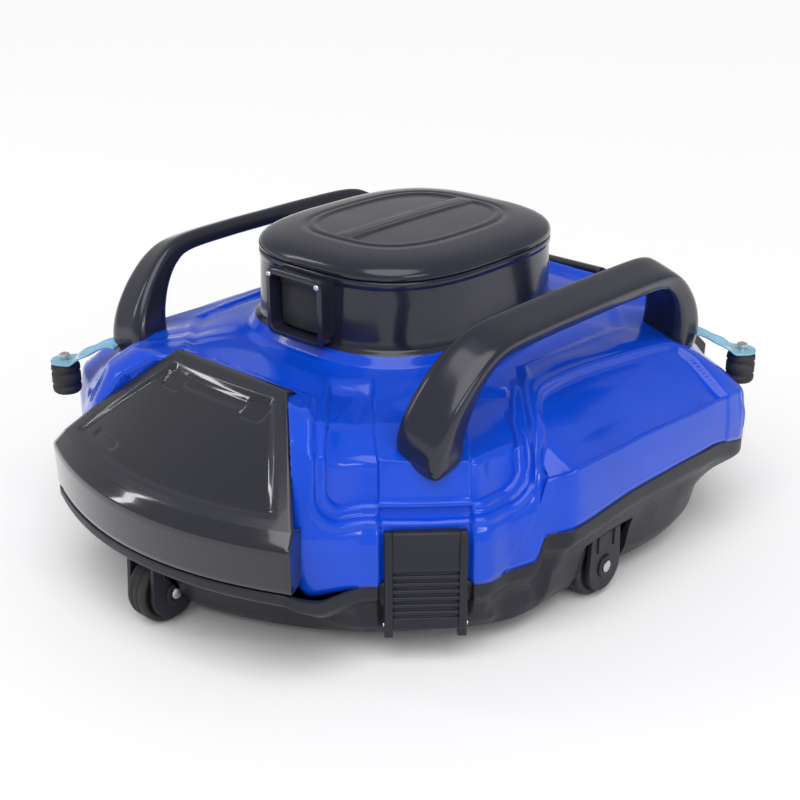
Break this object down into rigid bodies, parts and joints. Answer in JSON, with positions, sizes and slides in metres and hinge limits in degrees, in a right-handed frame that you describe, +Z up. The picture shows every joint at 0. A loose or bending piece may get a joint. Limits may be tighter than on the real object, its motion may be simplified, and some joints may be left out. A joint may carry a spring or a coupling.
{
  "type": "pool cleaner",
  "caption": "Low cordless robot that drives over a pool floor, draws water through a filter tray and jets it out of the dome.",
  "frame": {"origin": "on the ground under the middle of the machine", "axes": "+Y along the travel axis towards the rear nose, +X towards the right handle, +Z up"},
  "size_m": [0.348, 0.446, 0.198],
  "materials": {
    "blue": "high gloss moulded plastic",
    "black": "satin moulded plastic",
    "graphite": "glossy dark grey plastic",
    "smoke": "smoke tinted glossy cover",
    "rubber": "matt rubber",
    "steel": "turned stainless steel",
    "sky": "pale translucent plastic",
    "white_plastic": "plain moulded plastic",
    "cell_wrap": "shrink wrapped cells",
    "circuit_board": "coated board"
  },
  "bodies": {
    "base": {"base_pan": "black", "filter_tray": "white_plastic", "filter_mesh_front": "white_plastic", "filter_mesh_rear": "white_plastic", "intake_pin": "steel", "latch_pin_right": "steel", "latch_pin_left": "steel", "wheel_fork_front": "black", "wheel_fork_rear": "black", "wheel_fork_right": "black", "wheel_fork_left": "black", "wheel_axle_front": "steel", "wheel_axle_rear": "steel", "wheel_axle_right": "steel", "wheel_axle_left": "steel"},
    "upper": {"upper_shell": "blue", "nose_cover_front": "smoke", "nose_cover_rear": "smoke", "dome_housing": "graphite", "dome_cap": "graphite", "dome_seal": "rubber", "outlet_pin_front": "steel", "outlet_pin_rear": "steel", "handle_right": "graphite", "handle_left": "graphite", "pump_deck": "black", "impeller_shroud": "black", "motor_can": "steel", "battery_right": "cell_wrap", "battery_left": "cell_wrap", "control_board": "circuit_board", "roller_pin_right": "steel", "roller_arm_right": "sky", "roller_pin_left": "steel", "roller_arm_left": "sky"},
    "rotor": {"impeller": "white_plastic", "motor_shaft": "steel"},
    "charge_port_cap": {"charge_port_cap": "rubber"},
    "guide_roller_left": {"guide_roller_left": "rubber"},
    "guide_roller_right": {"guide_roller_right": "rubber"},
    "intake_flap": {"intake_flap": "rubber"},
    "latch_left": {"latch_left": "black"},
    "latch_right": {"latch_right": "black"},
    "outlet_flap_front": {"outlet_flap_front": "black"},
    "outlet_flap_rear": {"outlet_flap_rear": "black"},
    "power_button": {"power_button": "rubber"},
    "wheel_front": {"wheel_front": "rubber"},
    "wheel_left": {"wheel_left": "rubber"},
    "wheel_rear": {"wheel_rear": "rubber"},
    "wheel_right": {"wheel_right": "rubber"}
  },
  "joints": [
    {"name": "upper_lift", "type": "slide", "parent": "base", "child": "upper", "axis": [0, 0, 1], "range_m": [0, 0.15]},
    {"name": "wheel_front_spin", "type": "hinge", "parent": "base", "child": "wheel_front", "pos_m": [-0.012, -0.194, 0.02], "axis": [1, 0, 0], "continuous": true},
    {"name": "wheel_rear_spin", "type": "hinge", "parent": "base", "child": "wheel_rear", "pos_m": [0.012, 0.194, 0.02], "axis": [1, 0, 0], "continuous": true},
    {"name": "wheel_right_spin", "type": "hinge", "parent": "base", "child": "wheel_right", "pos_m": [0.15, -0.008, 0.02], "axis": [1, 0, 0], "continuous": true},
    {"name": "wheel_left_spin", "type": "hinge", "parent": "base", "child": "wheel_left", "pos_m": [-0.15, 0.008, 0.02], "axis": [1, 0, 0], "continuous": true},
    {"name": "guide_roller_right_spin", "type": "hinge", "parent": "upper", "child": "guide_roller_right", "pos_m": [0.1525, 0.1495, 0.096], "axis": [0, 0, 1], "continuous": true},
    {"name": "guide_roller_left_spin", "type": "hinge", "parent": "upper", "child": "guide_roller_left", "pos_m": [-0.1525, -0.1495, 0.096], "axis": [0, 0, 1], "continuous": true},
    {"name": "latch_right_hinge", "type": "hinge", "parent": "base", "child": "latch_right", "pos_m": [0.12869, -0.12869, 0.023], "axis": [0.7071, 0.7071, 0], "range_deg": [0, 38]},
    {"name": "latch_left_hinge", "type": "hinge", "parent": "base", "child": "latch_left", "pos_m": [-0.12869, 0.12869, 0.023], "axis": [-0.7071, -0.7071, 0], "range_deg": [0, 38]},
    {"name": "outlet_flap_front_hinge", "type": "hinge", "parent": "upper", "child": "outlet_flap_front", "pos_m": [0, -0.088, 0.1765], "axis": [-1, 0, 0], "range_deg": [0, 55]},
    {"name": "outlet_flap_rear_hinge", "type": "hinge", "parent": "upper", "child": "outlet_flap_rear", "pos_m": [0, 0.088, 0.1765], "axis": [1, 0, 0], "range_deg": [0, 55]},
    {"name": "rotor_spin", "type": "hinge", "parent": "upper", "child": "rotor", "pos_m": [0, 0, 0.115], "axis": [0, 0, 1], "continuous": true},
    {"name": "intake_flap_hinge", "type": "hinge", "parent": "base", "child": "intake_flap", "pos_m": [0, 0.014, 0.016], "axis": [-1, 0, 0], "range_deg": [0, 60]},
    {"name": "power_button_press", "type": "slide", "parent": "upper", "child": "power_button", "axis": [1, 0, 0], "range_m": [0, 0.0015], "stiffness_N_per_m": 800},
    {"name": "charge_port_cap_pull", "type": "slide", "parent": "upper", "child": "charge_port_cap", "axis": [-1, 0, 0], "range_m": [0, 0.02]}
  ]
}
